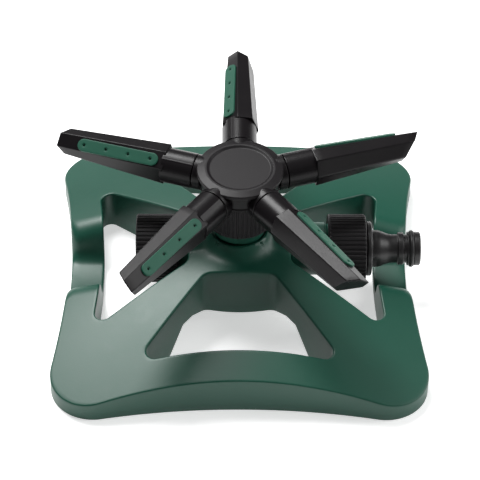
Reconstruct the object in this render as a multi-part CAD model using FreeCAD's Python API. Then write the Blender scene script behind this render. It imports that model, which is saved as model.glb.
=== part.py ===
import FreeCAD, Part
import math
import os

# Five-armed lawn sprinkler on a square moulded base. Millimetres, +Z up. The origin is on the
# ground under the rotor's vertical axis. +X is the hose inlet, -X the blanked outlet.

# ---- clearances
RUNNING = 0.05              # radial gap of a turning fit
SLIP = 0.3                  # gap between curved faces on different bodies
EASY = 0.4                  # gap round a piece that is dropped into place
FIT = 0.02                  # gap of a pressed fit
PAST = 1.0                  # how far a cut runs past what it cuts

# ---- base
BASE_SIDE = 190.0           # across the corner pads
BASE_PINCH = 6.9            # how far each side draws in at its middle
BASE_CORNER_R = 22.0
BASE_WALL = 2.6
RAIL_WIDTH = 17.2           # outer rail, from its outside to the opening
CROWN_TOP = 38.2            # height that the crown would reach on the axis
CROWN_SPREAD = 60.0         # radius over which the crown turns from flat to sloping
CROWN_FALL = 0.368          # slope that the crown tends to
CROWN_POINTS = 11           # points that its section passes through
OPEN_IN = 26.5              # from the axis to the inner wall of each opening
OPEN_APEX = 2.3             # where the side walls of an opening would meet
OPEN_HALF_ANGLE = 35.7      # degrees, from an opening's centre line to its side wall
OPEN_IN_R = 6.0
OPEN_OUT_R = 5.0
VALLEY_FLOOR = 5.0          # height of the rail where the hose passes over it
VALLEY_HALF = 21.5          # half width of the valley at its brow
VALLEY_BROW = 22.0          # height of the brow
VALLEY_SLOPE = 60.0         # degrees, the valley's flanks
VALLEY_LEAD = 12.0          # degrees, the lead-in above the brow
VALLEY_TOE_R = 5.0
VALLEY_BROW_R = 14.0
VALLEY_MARGIN = 3.0         # how far inside the rail the valley's cut starts
RELIEF_CENTRE = 5.5         # height of the inner walls above the ground at the middle
RELIEF_HUB_R = 24.0
RELIEF_TOP = 13.4           # the same, under the arms of the base
RELIEF_TOP_R = (43.0, 51.0)
RELIEF_RIM_R = 62.5         # outside this radius the walls stand on the ground
BOSS_R = 15.5               # rim round the riser
BOSS_TOP = 42.7
BOSS_FOOT_R = 25.0
BOSS_RIM = 1.4              # width of the raised rim
BOSS_CUP = 1.8              # depth of the cup inside the rim
BOSS_FLARE = (3.2, 4.0)     # a point of the flare, out and down from the rim
BOSS_SINK = 0.2             # how far the flare's foot is under the crown
BOSS_ROOT = 6.0             # depth of the boss under its foot

# ---- water tee
PIPE_Z = 27.4               # height of the pipe's axis
RUN_R = 10.8                # pipe inside the base
RUN_BORE = 8.0
COLLAR_R = 13.7             # pipe outside the base
THREAD_R = 13.2             # outside of the 3/4 inch hose thread
THREAD_PITCH = 1.814
INLET_COLLAR_END = 44.2
INLET_THREAD_END = 58.8
OUTLET_COLLAR_END = 30.2
OUTLET_THREAD_END = 47.9
RISER_R = 12.6
RISER_COLLAR = (43.4, 49.6)
EAR_X = 14.0
EAR_Y = 17.0
EAR_R = 4.0
EAR_Z = 20.0
EAR_THICK = 3.0
SCREW_R = 1.25
SCREW_HEAD_R = 2.8
SCREW_HEAD_H = 2.0
SCREW_LENGTH = 9.0
CROSS_LENGTH = 3.2          # cross recess in the screw's head
CROSS_WIDTH = 0.7
CROSS_DEPTH = 0.9
POST_R = 3.2

# ---- ribbed hose nuts
NUT_R = 17.8
NUT_LENGTH = 19.8
NUT_RIBS = 48
NUT_GROOVE = 0.5
NUT_GROOVE_SHARE = 0.42     # part of each rib's pitch that is groove
NUT_CHAMFER = 0.9
NUT_LIP = 2.1
HOSE_NUT_START = 45.7
CAP_START = 31.2
CAP_LENGTH = 22.0
CAP_WALL = 2.8
ROTOR_NUT_START = 50.4

# ---- inlet nipple, along X from the flange inside the nut to the tip
NIPPLE_BORE = 5.6
NIPPLE_NECK_R = 9.6
NIPPLE_FLANGE = (66.2, 68.6)
NIPPLE_FLANGE_R = 14.2
NIPPLE_BODY_END = 74.4
NIPPLE_WAIST = (77.6, 82.2)
NIPPLE_WAIST_R = 7.4
NIPPLE_RING_END = 85.3
NIPPLE_RING_R = 8.45
NIPPLE_SEAT = (88.0, 90.8)
NIPPLE_TIP = 94.0
NIPPLE_NOSE_R = 8.75
NIPPLE_RING_WIRE_R = 1.35
NIPPLE_EDGE = 0.8           # chamfer of the nose, and width of its inner lip
NIPPLE_FLANGE_EDGE = 0.5
NIPPLE_BREAK = (1.1, 0.9)   # where the taper steepens: past the body, and outside the waist
INNER_FLANGE = 2.0
WASHER = 2.4

# ---- rotor
AXIS_Z = 74.5               # height of the arms' axes
ARMS = 5
ARM_PHASE = 90.0            # degrees, the first arm's direction
SPINDLE_FLANGE_R = 12.4
SPINDLE_R = 8.6
SPINDLE_BORE = 6.0
SPINDLE_FLANGE_H = 1.9
THRUST_H = 0.8
SEAL_H = 1.1
HUB_BOTTOM = 71.6
HUB_FLOOR = 2.6
HUB_TOP = 80.9
HUB_R = (19.6, 20.6)        # at the bottom and at the top
HUB_CHAMBER_R = 15.0
STUB_R = 9.0
STUB_END = 23.2
SPIGOT_R = 7.0
SPIGOT_END = 35.4
SPIGOT_BORE = 4.2
PORT_R = 2.4
PORT_RISE = 2.2             # ports into the chamber sit this much above the arms' axes
RING_GROOVE_AT = 28.5
SNAP_AT = 33.6              # bead that holds an arm on its spigot
SNAP_WIDTH = 1.2
SNAP_RISE = 0.4
RING_WIRE_R = 0.72
DISC_R = 21.9
DISC_EDGE_Z = 82.9
DISC_TOP_Z = 83.8
DISC_RECESS_R = 16.8
DISC_RECESS = 0.8
DISC_SKIRT = 3.4
DISC_SKIRT_WALL = 2.6
DISC_SKIRT_GAP = 0.15
DISC_SEAL_WIRE_R = 0.7
DISC_SEAL_DROP = 1.8        # from the top of the hub down to the middle of the seal
DISC_EDGE = 0.5             # chamfers of the disc
DISC_LIP = 0.3
GROOVE_SIDE = 0.1           # gap beside a ring in its groove
BORE_START = 1.2            # from the hub's under-cut out to the spigots' bores

# ---- arms: corners of the six-sided section as (sideways, up from the axis)
COLLAR_START = 23.6
COLLAR_END = 38.6
SOCKET_END = 36.0
ARM_BORE = 3.4
ARM_BORE_END = 82.0
ROOT_AT = 38.6
ROOT_SECTION = [(1.0, 9.7), (-6.7, 8.7), (-10.0, 0.0), (-7.0, -8.3), (7.0, -7.5), (8.9, 4.5)]
END_AT = 90.0
END_SECTION = [(0.8, 7.2), (-4.9, 6.3), (-8.0, -0.9), (-4.8, -5.8), (5.1, -3.9), (6.3, 2.5)]
TIP_RADIUS = 96.3           # where the ridge meets the slanted end
TIP_SLANT = (0.569, 0.537)  # how much the end runs out, sideways and upwards
TIP_SPARE = 12.0            # length of the blank past the tip
STRIP_WIDTH = 6.6
STRIP_IN = 41.8
STRIP_OUT = 85.4
STRIP_PROUD = 1.0
STRIP_SUNK = 1.4
STRIP_SHIFT = 0.6           # off the middle of its facet, away from the ridge
STRIP_FEED = 2.4            # width of the water slot under the strip
STRIP_FEED_DEPTH = 8.0
JET_R = 0.45
JETS = 4
JET_IN = 45.9
JET_OUT = 81.9
JET_SEAT_R = 1.0
JET_SEAT = 0.2

X = FreeCAD.Vector(1, 0, 0)
Y = FreeCAD.Vector(0, 1, 0)
Z = FreeCAD.Vector(0, 0, 1)
ORIGIN = FreeCAD.Vector(0, 0, 0)


def vec(x, y, z):
    return FreeCAD.Vector(x, y, z)


def rod(start, end, radius, axis=X, centre=ORIGIN):
    """A cylinder along axis, from start to end, measured from centre."""
    return Part.makeCylinder(radius, end - start, centre + axis * start, axis)


def turned(profile, axis=Z, centre=ORIGIN):
    """A closed profile of (radius, along) points, spun about axis."""
    side = Z if axis == X else X
    points = [centre + side * r + axis * a for r, a in profile]
    face = Part.Face(Part.makePolygon(points + points[:1]))
    return face.revolve(centre, axis, 360)


def ring(inner, outer, start, end, axis=Z, centre=ORIGIN):
    return turned([(inner, start), (outer, start), (outer, end), (inner, end)], axis, centre)


def bar(length, width, height, centre):
    """A box along X, centred over a point."""
    return Part.makeBox(length, width, height, centre - vec(length / 2, width / 2, 0))


def turn(shape, degrees):
    copy = shape.copy()
    copy.rotate(ORIGIN, Z, degrees)
    return copy


# ---------------------------------------------------------------- base

def crown_height(radius):
    spread = math.hypot(radius, CROWN_SPREAD) - CROWN_SPREAD
    return CROWN_TOP - CROWN_FALL * spread


def side_radius():
    """Radius of a drawn-in side, tangent to the corner arcs at both ends."""
    reach = BASE_SIDE / 2 - BASE_CORNER_R
    return (reach ** 2 + BASE_PINCH ** 2) / (2 * BASE_PINCH) - BASE_CORNER_R


def base_outline(inset):
    """Plan of the base: four drawn-in sides and four round corners, moved in by inset."""
    big = side_radius()
    middle = BASE_SIDE / 2 - BASE_PINCH
    reach = BASE_SIDE / 2 - BASE_CORNER_R
    corner_r = BASE_CORNER_R - inset
    swing = math.asin(reach / (big + BASE_CORNER_R))
    edges = []
    for quarter in range(4):
        spin = FreeCAD.Rotation(Z, 90 * quarter)
        left = vec(-reach + corner_r * math.sin(swing), -reach - corner_r * math.cos(swing), 0)
        right = vec(-left.x, left.y, 0)
        low = vec(0, -middle + inset, 0)
        bend = vec(reach + corner_r / math.sqrt(2), -reach - corner_r / math.sqrt(2), 0)
        after = vec(-left.y, left.x, 0)
        edges.append(Part.Arc(*[spin.multVec(p) for p in (left, low, right)]).toShape())
        edges.append(Part.Arc(*[spin.multVec(p) for p in (right, bend, after)]).toShape())
    return Part.Face(Part.Wire(edges))


def crown(drop):
    """The solid under the crown's surface, lowered by drop."""
    reach = BASE_SIDE
    radii = [reach * step / (CROWN_POINTS - 1) for step in range(CROWN_POINTS)]
    surface = Part.BSplineCurve()
    surface.interpolate([vec(r, 0, crown_height(r) - drop) for r in radii])
    top = surface.toShape()
    ends = [vec(radii[0], 0, crown_height(0) - drop), vec(reach, 0, crown_height(reach) - drop)]
    low = -BASE_SIDE
    wall = Part.makeLine(ends[1], vec(reach, 0, low))
    floor = Part.makeLine(vec(reach, 0, low), vec(0, 0, low))
    axis = Part.makeLine(vec(0, 0, low), ends[0])
    return Part.Face(Part.Wire([top, wall, floor, axis])).revolve(ORIGIN, Z, 360)


def opening(grow):
    """One opening's prism, on the +X side, widened by grow."""
    angle = math.radians(OPEN_HALF_ANGLE)
    apex = OPEN_APEX - grow / math.sin(angle)
    near = OPEN_IN - grow
    far = BASE_SIDE / 2
    low = vec(near, -(near - apex) * math.tan(angle), -PAST)
    high = vec(near, -low.y, -PAST)
    out_low = vec(far, -(far - apex) * math.tan(angle), -PAST)
    out_high = vec(far, -out_low.y, -PAST)
    wedge = Part.Face(Part.makePolygon([low, out_low, out_high, high, low]))
    prism = wedge.extrude(Z * BASE_SIDE)
    rail_r = side_radius() + RAIL_WIDTH - grow
    rail_centre = vec(BASE_SIDE / 2 - BASE_PINCH + side_radius(), 0, -2 * PAST)
    prism = prism.cut(Part.makeCylinder(rail_r, BASE_SIDE + 4 * PAST, rail_centre, Z))
    inner = []
    outer = []
    for edge in prism.Edges:
        ends = [v.Point for v in edge.Vertexes]
        upright = len(ends) == 2 and abs(ends[0].x - ends[1].x) + abs(ends[0].y - ends[1].y) < 1e-6
        if upright and ends[0].x < near + PAST:
            inner.append(edge)
        elif upright:
            outer.append(edge)
    prism = prism.makeFillet(OPEN_IN_R + grow, inner)
    outer = [e for e in prism.Edges if any(same_edge(e, o) for o in outer)]
    return prism.makeFillet(OPEN_OUT_R + grow, outer)


def same_edge(one, two):
    return (one.CenterOfMass - two.CenterOfMass).Length < 1e-6 and abs(one.Length - two.Length) < 1e-6


def valley(grow):
    """The trough across the left and right rails, as one prism along X, deepened by grow."""
    slope = math.radians(VALLEY_SLOPE)
    lead = math.radians(VALLEY_LEAD)
    floor = VALLEY_FLOOR - grow
    foot = VALLEY_HALF - (VALLEY_BROW - VALLEY_FLOOR) / math.tan(slope) + grow * math.tan(slope / 2)
    brow_z = VALLEY_BROW - grow
    brow = vec(0, foot + (brow_z - floor) / math.tan(slope), brow_z)
    reach = BASE_SIDE / 3
    rise = brow.z + (reach - brow.y) * math.tan(lead)
    half = [vec(0, foot, floor), brow, vec(0, reach, rise), vec(0, reach, BASE_SIDE)]
    other = [vec(0, -p.y, p.z) for p in reversed(half)]
    face = Part.Face(Part.makePolygon(other + half + other[:1]))
    face.translate(X * -BASE_SIDE)
    prism = face.extrude(X * 2 * BASE_SIDE)
    toes = along_x(prism, floor)
    prism = prism.makeFillet(VALLEY_TOE_R + grow, toes)
    return prism.makeFillet(VALLEY_BROW_R - grow, along_x(prism, brow.z))


def along_x(shape, height):
    found = []
    for edge in shape.Edges:
        low, high = edge.BoundBox.ZMin, edge.BoundBox.ZMax
        if edge.BoundBox.XLength > BASE_SIDE and abs(low - height) + abs(high - height) < 1e-3:
            found.append(edge)
    return found


def rail_blocks():
    """Where the valley may cut: over the left and right rails only."""
    start = BASE_SIDE / 2 - BASE_PINCH - RAIL_WIDTH - VALLEY_MARGIN
    size = BASE_SIDE
    right = Part.makeBox(size, size, size, vec(start, -size / 2, -PAST))
    return right.fuse(turn(right, 180))


def boss():
    """The raised rim round the riser, flaring down into the crown."""
    foot = crown_height(BOSS_FOOT_R) - BOSS_SINK
    middle = vec(BOSS_R + BOSS_FLARE[0], 0, BOSS_TOP - BOSS_FLARE[1])
    rim = vec(BOSS_R, 0, BOSS_TOP)
    flare = Part.Arc(vec(BOSS_FOOT_R, 0, foot), middle, rim).toShape()
    low = foot - BOSS_ROOT
    corners = [rim, vec(0, 0, BOSS_TOP), vec(0, 0, low), vec(BOSS_FOOT_R, 0, low), vec(BOSS_FOOT_R, 0, foot)]
    lines = [Part.makeLine(one, two) for one, two in zip(corners, corners[1:])]
    return Part.Face(Part.Wire([flare] + lines)).revolve(ORIGIN, Z, 360)


def base_block(inset):
    """The base as a solid block, shrunk by inset on every outside face."""
    block = base_outline(inset).extrude(Z * BASE_SIDE)
    if inset:
        block.translate(Z * -PAST)
    block = block.common(crown(inset))
    for quarter in range(4):
        block = block.cut(turn(opening(inset), 90 * quarter))
    return block.cut(valley(inset).common(rail_blocks()))


def post_places():
    return [vec(sx * EAR_X, sy * EAR_Y, 0) for sx in (-1, 1) for sy in (-1, 1)]


def make_base():
    hump = rod(-OPEN_IN, OPEN_IN, RUN_R + EASY + BASE_WALL, X, Z * PIPE_Z)
    over = vec(-2 * OPEN_IN, -2 * OPEN_IN, PIPE_Z)
    hump = hump.common(Part.makeBox(4 * OPEN_IN, 4 * OPEN_IN, OPEN_IN, over))
    block = base_block(0).fuse(boss()).fuse(hump)
    hollow = base_block(BASE_WALL)
    shell = block.cut(hollow)
    for place in post_places():
        top = crown_height(place.Length) - BASE_WALL / 2
        post = rod(EAR_Z + EAR_THICK, top, POST_R, Z, place)
        shell = shell.fuse(post)
    half = OPEN_IN + BASE_WALL
    tunnel_r = RUN_R + EASY
    tunnel = rod(-half, half, tunnel_r, X, Z * PIPE_Z)
    slot = Part.makeBox(2 * half, 2 * tunnel_r, PIPE_Z + PAST, vec(-half, -tunnel_r, -PAST))
    shell = shell.cut(tunnel.fuse(slot))
    shell = shell.cut(rod(0, BOSS_TOP + PAST, RISER_R + EASY, Z))
    shell = shell.cut(rod(BOSS_TOP - BOSS_CUP, BOSS_TOP + PAST, BOSS_R - BOSS_RIM, Z))
    for place in post_places():
        shell = shell.cut(rod(EAR_Z, EAR_Z + EAR_THICK + SCREW_LENGTH, SCREW_R, Z, place))
    relief = [(0, -PAST), (0, RELIEF_CENTRE), (RELIEF_HUB_R, RELIEF_CENTRE), (RELIEF_TOP_R[0], RELIEF_TOP),
              (RELIEF_TOP_R[1], RELIEF_TOP), (RELIEF_RIM_R, 0), (RELIEF_RIM_R, -PAST)]
    return shell.cut(turned(relief)).removeSplitter()


# ---------------------------------------------------------------- water tee

def make_tee():
    centre = Z * PIPE_Z
    gap = OPEN_IN + SLIP
    tee = rod(-gap, gap, RUN_R, X, centre)
    tee = tee.fuse(rod(gap, INLET_COLLAR_END, COLLAR_R, X, centre))
    tee = tee.fuse(rod(INLET_COLLAR_END, INLET_THREAD_END, THREAD_R, X, centre))
    tee = tee.fuse(rod(-OUTLET_COLLAR_END, -gap, COLLAR_R, X, centre))
    tee = tee.fuse(rod(-OUTLET_THREAD_END, -OUTLET_COLLAR_END, THREAD_R, X, centre))
    tee = tee.fuse(rod(PIPE_Z, RISER_COLLAR[0], RISER_R, Z))
    tee = tee.fuse(rod(RISER_COLLAR[0], RISER_COLLAR[1], COLLAR_R, Z))
    tee = tee.fuse(rod(RISER_COLLAR[1], riser_top(), THREAD_R, Z))
    for side in (-1, 1):
        plate = Part.makeBox(2 * EAR_R, 2 * EAR_Y, EAR_THICK, vec(side * EAR_X - EAR_R, -EAR_Y, EAR_Z))
        tee = tee.fuse(plate)
    for place in post_places():
        tee = tee.fuse(rod(EAR_Z, EAR_Z + EAR_THICK, EAR_R, Z, place))
    tee = tee.cut(rod(-OUTLET_THREAD_END - PAST, INLET_THREAD_END + PAST, RUN_BORE, X, centre))
    tee = tee.cut(rod(PIPE_Z, riser_top() + PAST, RUN_BORE, Z))
    for place in post_places():
        tee = tee.cut(rod(EAR_Z - PAST, EAR_Z + EAR_THICK + PAST, SCREW_R + EASY, Z, place))
    return tee.removeSplitter()


def make_tee_screws():
    screws = []
    for place in post_places():
        head = rod(EAR_Z - SCREW_HEAD_H, EAR_Z, SCREW_HEAD_R, Z, place)
        shank = rod(EAR_Z, EAR_Z + EAR_THICK + SCREW_LENGTH - PAST, SCREW_R - FIT, Z, place)
        low = EAR_Z - SCREW_HEAD_H - FIT
        one = bar(CROSS_LENGTH, CROSS_WIDTH, CROSS_DEPTH, place + Z * low)
        other = bar(CROSS_WIDTH, CROSS_LENGTH, CROSS_DEPTH, place + Z * low)
        screws.append(head.fuse(shank).cut(one.fuse(other)))
    return Part.makeCompound(screws)


# ---------------------------------------------------------------- ribbed nuts

def ribbed_body(length):
    """A grooved cylinder along +X from 0 to length, chamfered at both ends."""
    points = []
    pitch = 360.0 / NUT_RIBS
    half_rib = pitch * (1 - NUT_GROOVE_SHARE) / 2
    half_floor = pitch * NUT_GROOVE_SHARE / 3
    for rib in range(NUT_RIBS):
        here = rib * pitch
        stations = [(-half_rib, NUT_R), (half_rib, NUT_R), (pitch / 2 - half_floor, NUT_R - NUT_GROOVE),
                    (pitch / 2 + half_floor, NUT_R - NUT_GROOVE)]
        for offset, radius in stations:
            angle = math.radians(here + offset)
            points.append(vec(0, radius * math.cos(angle), radius * math.sin(angle)))
    body = Part.Face(Part.makePolygon(points + points[:1])).extrude(X * length)
    outside = NUT_R + FIT
    blunt = [(0, 0), (outside - NUT_CHAMFER, 0), (outside, NUT_CHAMFER), (outside, length - NUT_CHAMFER),
             (outside - NUT_CHAMFER, length), (0, length)]
    return body.common(turned(blunt, X))


def make_swivel_nut(neck_r):
    """A nut with a lip at its far end, open at X = 0."""
    body = ribbed_body(NUT_LENGTH)
    body = body.cut(rod(-PAST, NUT_LENGTH - NUT_LIP, THREAD_R + SLIP))
    return body.cut(rod(0, NUT_LENGTH + PAST, neck_r + EASY))


def make_hose_nut():
    nut = make_swivel_nut(NIPPLE_NECK_R)
    nut.translate(vec(HOSE_NUT_START, 0, PIPE_Z))
    return nut


def make_rotor_nut():
    nut = make_swivel_nut(SPINDLE_R)
    nut.rotate(ORIGIN, Y, -90)
    nut.translate(Z * ROTOR_NUT_START)
    return nut


def make_end_cap():
    cap = ribbed_body(CAP_LENGTH).cut(rod(-PAST, CAP_LENGTH - CAP_WALL, THREAD_R + SLIP))
    cap.rotate(ORIGIN, Z, 180)
    cap.translate(vec(-CAP_START, 0, PIPE_Z))
    return cap


def make_end_cap_washer():
    inner_face = -(CAP_START + CAP_LENGTH - CAP_WALL)
    return ring(RUN_BORE, THREAD_R, inner_face, -OUTLET_THREAD_END, X, Z * PIPE_Z)


# ---------------------------------------------------------------- inlet nipple

def inner_flange_r():
    """Radius of what lies loose inside a nut."""
    return THREAD_R - EASY / 2


def nipple_inner_face():
    return INLET_THREAD_END + WASHER


def make_inlet_washer():
    return ring(RUN_BORE, inner_flange_r(), INLET_THREAD_END, nipple_inner_face(), X, Z * PIPE_Z)


def make_inlet_nipple():
    start = nipple_inner_face()
    inner_end = start + INNER_FLANGE
    flange_edge = NIPPLE_FLANGE_R - NIPPLE_FLANGE_EDGE
    lip = NIPPLE_SEAT[0] - NIPPLE_EDGE
    profile = [
        (NIPPLE_BORE, start), (inner_flange_r(), start), (inner_flange_r(), inner_end),
        (NIPPLE_NECK_R, inner_end),
        (NIPPLE_NECK_R, NIPPLE_FLANGE[0]), (NIPPLE_FLANGE_R, NIPPLE_FLANGE[0]),
        (NIPPLE_FLANGE_R, NIPPLE_FLANGE[1] - NIPPLE_FLANGE_EDGE), (flange_edge, NIPPLE_FLANGE[1]),
        (NIPPLE_NECK_R, NIPPLE_FLANGE[1]), (NIPPLE_NECK_R, NIPPLE_BODY_END),
        (NIPPLE_WAIST_R + NIPPLE_BREAK[1], NIPPLE_BODY_END + NIPPLE_BREAK[0]),
        (NIPPLE_WAIST_R, NIPPLE_WAIST[0]),
        (NIPPLE_WAIST_R, NIPPLE_WAIST[1]), (NIPPLE_RING_R, NIPPLE_WAIST[1]), (NIPPLE_RING_R, NIPPLE_RING_END),
        (NIPPLE_WAIST_R, NIPPLE_RING_END), (NIPPLE_WAIST_R, lip), (NIPPLE_NOSE_R, lip),
        (NIPPLE_NOSE_R, NIPPLE_SEAT[0]), (nipple_seat_r(), NIPPLE_SEAT[0]), (nipple_seat_r(), NIPPLE_SEAT[1]),
        (NIPPLE_NOSE_R, NIPPLE_SEAT[1]), (NIPPLE_NOSE_R, NIPPLE_TIP - NIPPLE_EDGE),
        (NIPPLE_NOSE_R - NIPPLE_EDGE, NIPPLE_TIP), (NIPPLE_BORE, NIPPLE_TIP),
    ]
    return turned(profile, X, Z * PIPE_Z)


def nipple_seat_r():
    return NIPPLE_NECK_R - 2 * NIPPLE_RING_WIRE_R - FIT


def make_nipple_o_ring():
    middle = (NIPPLE_SEAT[0] + NIPPLE_SEAT[1]) / 2
    centre = vec(middle, 0, PIPE_Z)
    return Part.makeTorus(NIPPLE_NECK_R - NIPPLE_RING_WIRE_R, NIPPLE_RING_WIRE_R, centre, X)


# ---------------------------------------------------------------- rotor

def lip_face():
    return ROTOR_NUT_START + NUT_LENGTH - NUT_LIP


def spindle_flange_low():
    return lip_face() - THRUST_H - SPINDLE_FLANGE_H


def riser_top():
    return spindle_flange_low() - SEAL_H


def make_riser_seal():
    return ring(RUN_BORE, SPINDLE_FLANGE_R, riser_top(), spindle_flange_low())


def make_thrust_washer():
    return ring(SPINDLE_R + RUNNING, inner_flange_r(), lip_face() - THRUST_H, lip_face())


def make_spindle():
    flange_top = lip_face() - THRUST_H
    low = spindle_flange_low()
    top = HUB_BOTTOM + HUB_FLOOR
    profile = [(SPINDLE_BORE, low), (SPINDLE_FLANGE_R, low), (SPINDLE_FLANGE_R, flange_top),
               (SPINDLE_R, flange_top), (SPINDLE_R, top), (SPINDLE_BORE, top)]
    return turned(profile)


def radial(shape, arm):
    return turn(shape, ARM_PHASE + arm * 360.0 / ARMS)


def make_hub():
    body = turned([(0, HUB_BOTTOM), (HUB_R[0], HUB_BOTTOM), (HUB_R[1], HUB_TOP), (0, HUB_TOP)])
    axle = Z * AXIS_Z
    under_cut = NUT_R + 2 * EASY
    for arm in range(ARMS):
        stub = rod(HUB_CHAMBER_R, STUB_END, STUB_R, X, axle)
        stub = stub.fuse(rod(STUB_END, SPIGOT_END, SPIGOT_R, X, axle))
        body = body.fuse(radial(stub, arm))
    body = body.cut(rod(HUB_BOTTOM - 2 * STUB_R, HUB_BOTTOM, under_cut, Z))
    body = body.cut(rod(HUB_TOP, HUB_TOP + STUB_R, DISC_R + SLIP, Z))
    body = body.cut(rod(HUB_BOTTOM + HUB_FLOOR, HUB_TOP + PAST, HUB_CHAMBER_R, Z))
    body = body.cut(rod(HUB_BOTTOM - PAST, HUB_BOTTOM + HUB_FLOOR + PAST, SPINDLE_R + FIT, Z))
    half = RING_WIRE_R + GROOVE_SIDE
    groove = ring(ring_seat_r(), SPIGOT_R + PAST, RING_GROOVE_AT - half, RING_GROOVE_AT + half, X, axle)
    bore = rod(under_cut + BORE_START, SPIGOT_END + PAST, SPIGOT_BORE, X, axle)
    port = rod(HUB_CHAMBER_R - PAST, under_cut + 2 * BORE_START, PORT_R, X, axle + Z * PORT_RISE)
    for arm in range(ARMS):
        body = body.cut(radial(bore.fuse(port).fuse(groove), arm))
        body = body.fuse(radial(snap_bead(0), arm))
    return body.removeSplitter()


def snap_bead(gap):
    """The low ring on a spigot, or with a gap, the groove that it turns in."""
    half = SNAP_WIDTH / 2
    outer = SPIGOT_R + SNAP_RISE + gap
    inner = SPIGOT_R - SNAP_RISE
    return turned([(inner, SNAP_AT - half - gap - SNAP_RISE), (outer, SNAP_AT - half - gap),
                   (outer, SNAP_AT + half + gap), (inner, SNAP_AT + half + gap + SNAP_RISE)], X, Z * AXIS_Z)


def ring_seat_r():
    return SPIGOT_R - 2 * (RING_WIRE_R + FIT)


def make_arm_o_rings():
    centre = vec(RING_GROOVE_AT, 0, AXIS_Z)
    wire = Part.makeTorus(SPIGOT_R - RING_WIRE_R - FIT, RING_WIRE_R, centre, X)
    return Part.makeCompound([radial(wire, arm) for arm in range(ARMS)])


def make_hub_cap():
    skirt_r = HUB_CHAMBER_R - DISC_SKIRT_GAP
    inner = skirt_r - DISC_SKIRT_WALL
    profile = [(0, HUB_TOP), (inner, HUB_TOP), (inner, HUB_TOP - DISC_SKIRT),
               (skirt_r, HUB_TOP - DISC_SKIRT), (skirt_r, HUB_TOP), (DISC_R - DISC_EDGE, HUB_TOP),
               (DISC_R, HUB_TOP + DISC_EDGE), (DISC_R, DISC_EDGE_Z - DISC_LIP),
               (DISC_R - DISC_LIP, DISC_EDGE_Z),
               (DISC_RECESS_R + DISC_LIP, DISC_TOP_Z), (DISC_RECESS_R, DISC_TOP_Z),
               (DISC_RECESS_R, DISC_TOP_Z - DISC_RECESS), (0, DISC_TOP_Z - DISC_RECESS)]
    half = DISC_SEAL_WIRE_R + GROOVE_SIDE
    groove = ring(disc_groove_r(), HUB_CHAMBER_R + PAST, disc_seal_z() - half, disc_seal_z() + half)
    return turned(profile).cut(groove)


def disc_seal_z():
    return HUB_TOP - DISC_SEAL_DROP


def disc_groove_r():
    return HUB_CHAMBER_R - 2 * (DISC_SEAL_WIRE_R + FIT)


def make_hub_cap_seal():
    return Part.makeTorus(HUB_CHAMBER_R - DISC_SEAL_WIRE_R - FIT, DISC_SEAL_WIRE_R, Z * disc_seal_z(), Z)


# ---------------------------------------------------------------- arms

def corner(index, radius):
    """One corner of the arm's section at a distance from the rotor's axis."""
    share = (radius - ROOT_AT) / (END_AT - ROOT_AT)
    low = ROOT_SECTION[index]
    high = END_SECTION[index]
    side = low[0] + (high[0] - low[0]) * share
    up = low[1] + (high[1] - low[1]) * share
    return vec(radius, side, AXIS_Z + up)


def section(radius):
    points = [corner(index, radius) for index in range(len(ROOT_SECTION))]
    return Part.makePolygon(points + points[:1])


def arm_blank():
    """The tapering six-sided body with its slanted end."""
    body = Part.makeLoft([section(ROOT_AT), section(TIP_RADIUS + TIP_SPARE)], True, True)
    ridge = corner(0, TIP_RADIUS)
    normal = vec(1, -TIP_SLANT[0], -TIP_SLANT[1])
    cutter = bar(AXIS_Z, AXIS_Z, AXIS_Z, ORIGIN)
    cutter.Placement = FreeCAD.Placement(ridge, FreeCAD.Rotation(Z, normal))
    return body.cut(cutter)


def strip_frame():
    """Placement on the spray facet: x outwards along the strip, y away from the ridge, z out of the facet."""
    ridge_in, side_in = corner(0, JET_IN), corner(5, JET_IN)
    ridge_out, side_out = corner(0, JET_OUT), corner(5, JET_OUT)
    middle = (ridge_in + side_in) * 0.5
    along = ((ridge_out + side_out) * 0.5 - middle).normalize()
    away = side_in - ridge_in + side_out - ridge_out
    normal = along.cross(away).normalize()
    across = normal.cross(along)
    matrix = FreeCAD.Matrix(along.x, across.x, normal.x, 0, along.y, across.y, normal.y, 0,
                            along.z, across.z, normal.z, 0, 0, 0, 0, 1)
    place = FreeCAD.Placement(matrix)
    place.Base = middle - along * (middle.x / along.x) + across * STRIP_SHIFT
    return place, along.x


def slab(start, end, width, low, high):
    """A round-ended slab along X."""
    radius = width / 2
    bar = Part.makeBox(end - start - width, width, high - low, vec(start + radius, -radius, low))
    ends = [rod(low, high, radius, Z, X * at) for at in (start + radius, end - radius)]
    return bar.fuse(ends[0]).fuse(ends[1]).removeSplitter()


def on_facet(shape):
    place, _ = strip_frame()
    copy = shape.copy()
    copy.Placement = place.multiply(copy.Placement)
    return copy


def jet_places():
    _, lean = strip_frame()
    step = (JET_OUT - JET_IN) / (JETS - 1)
    return [(JET_IN + index * step) / lean for index in range(JETS)]


def make_strip():
    _, lean = strip_frame()
    strip = slab(STRIP_IN / lean, STRIP_OUT / lean, STRIP_WIDTH, -STRIP_SUNK, STRIP_PROUD)
    for at in jet_places():
        strip = strip.cut(rod(-STRIP_SUNK - PAST, STRIP_PROUD + PAST, JET_R, Z, X * at))
        strip = strip.cut(rod(STRIP_PROUD - JET_SEAT, STRIP_PROUD + PAST, JET_SEAT_R, Z, X * at))
    return on_facet(strip)


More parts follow.
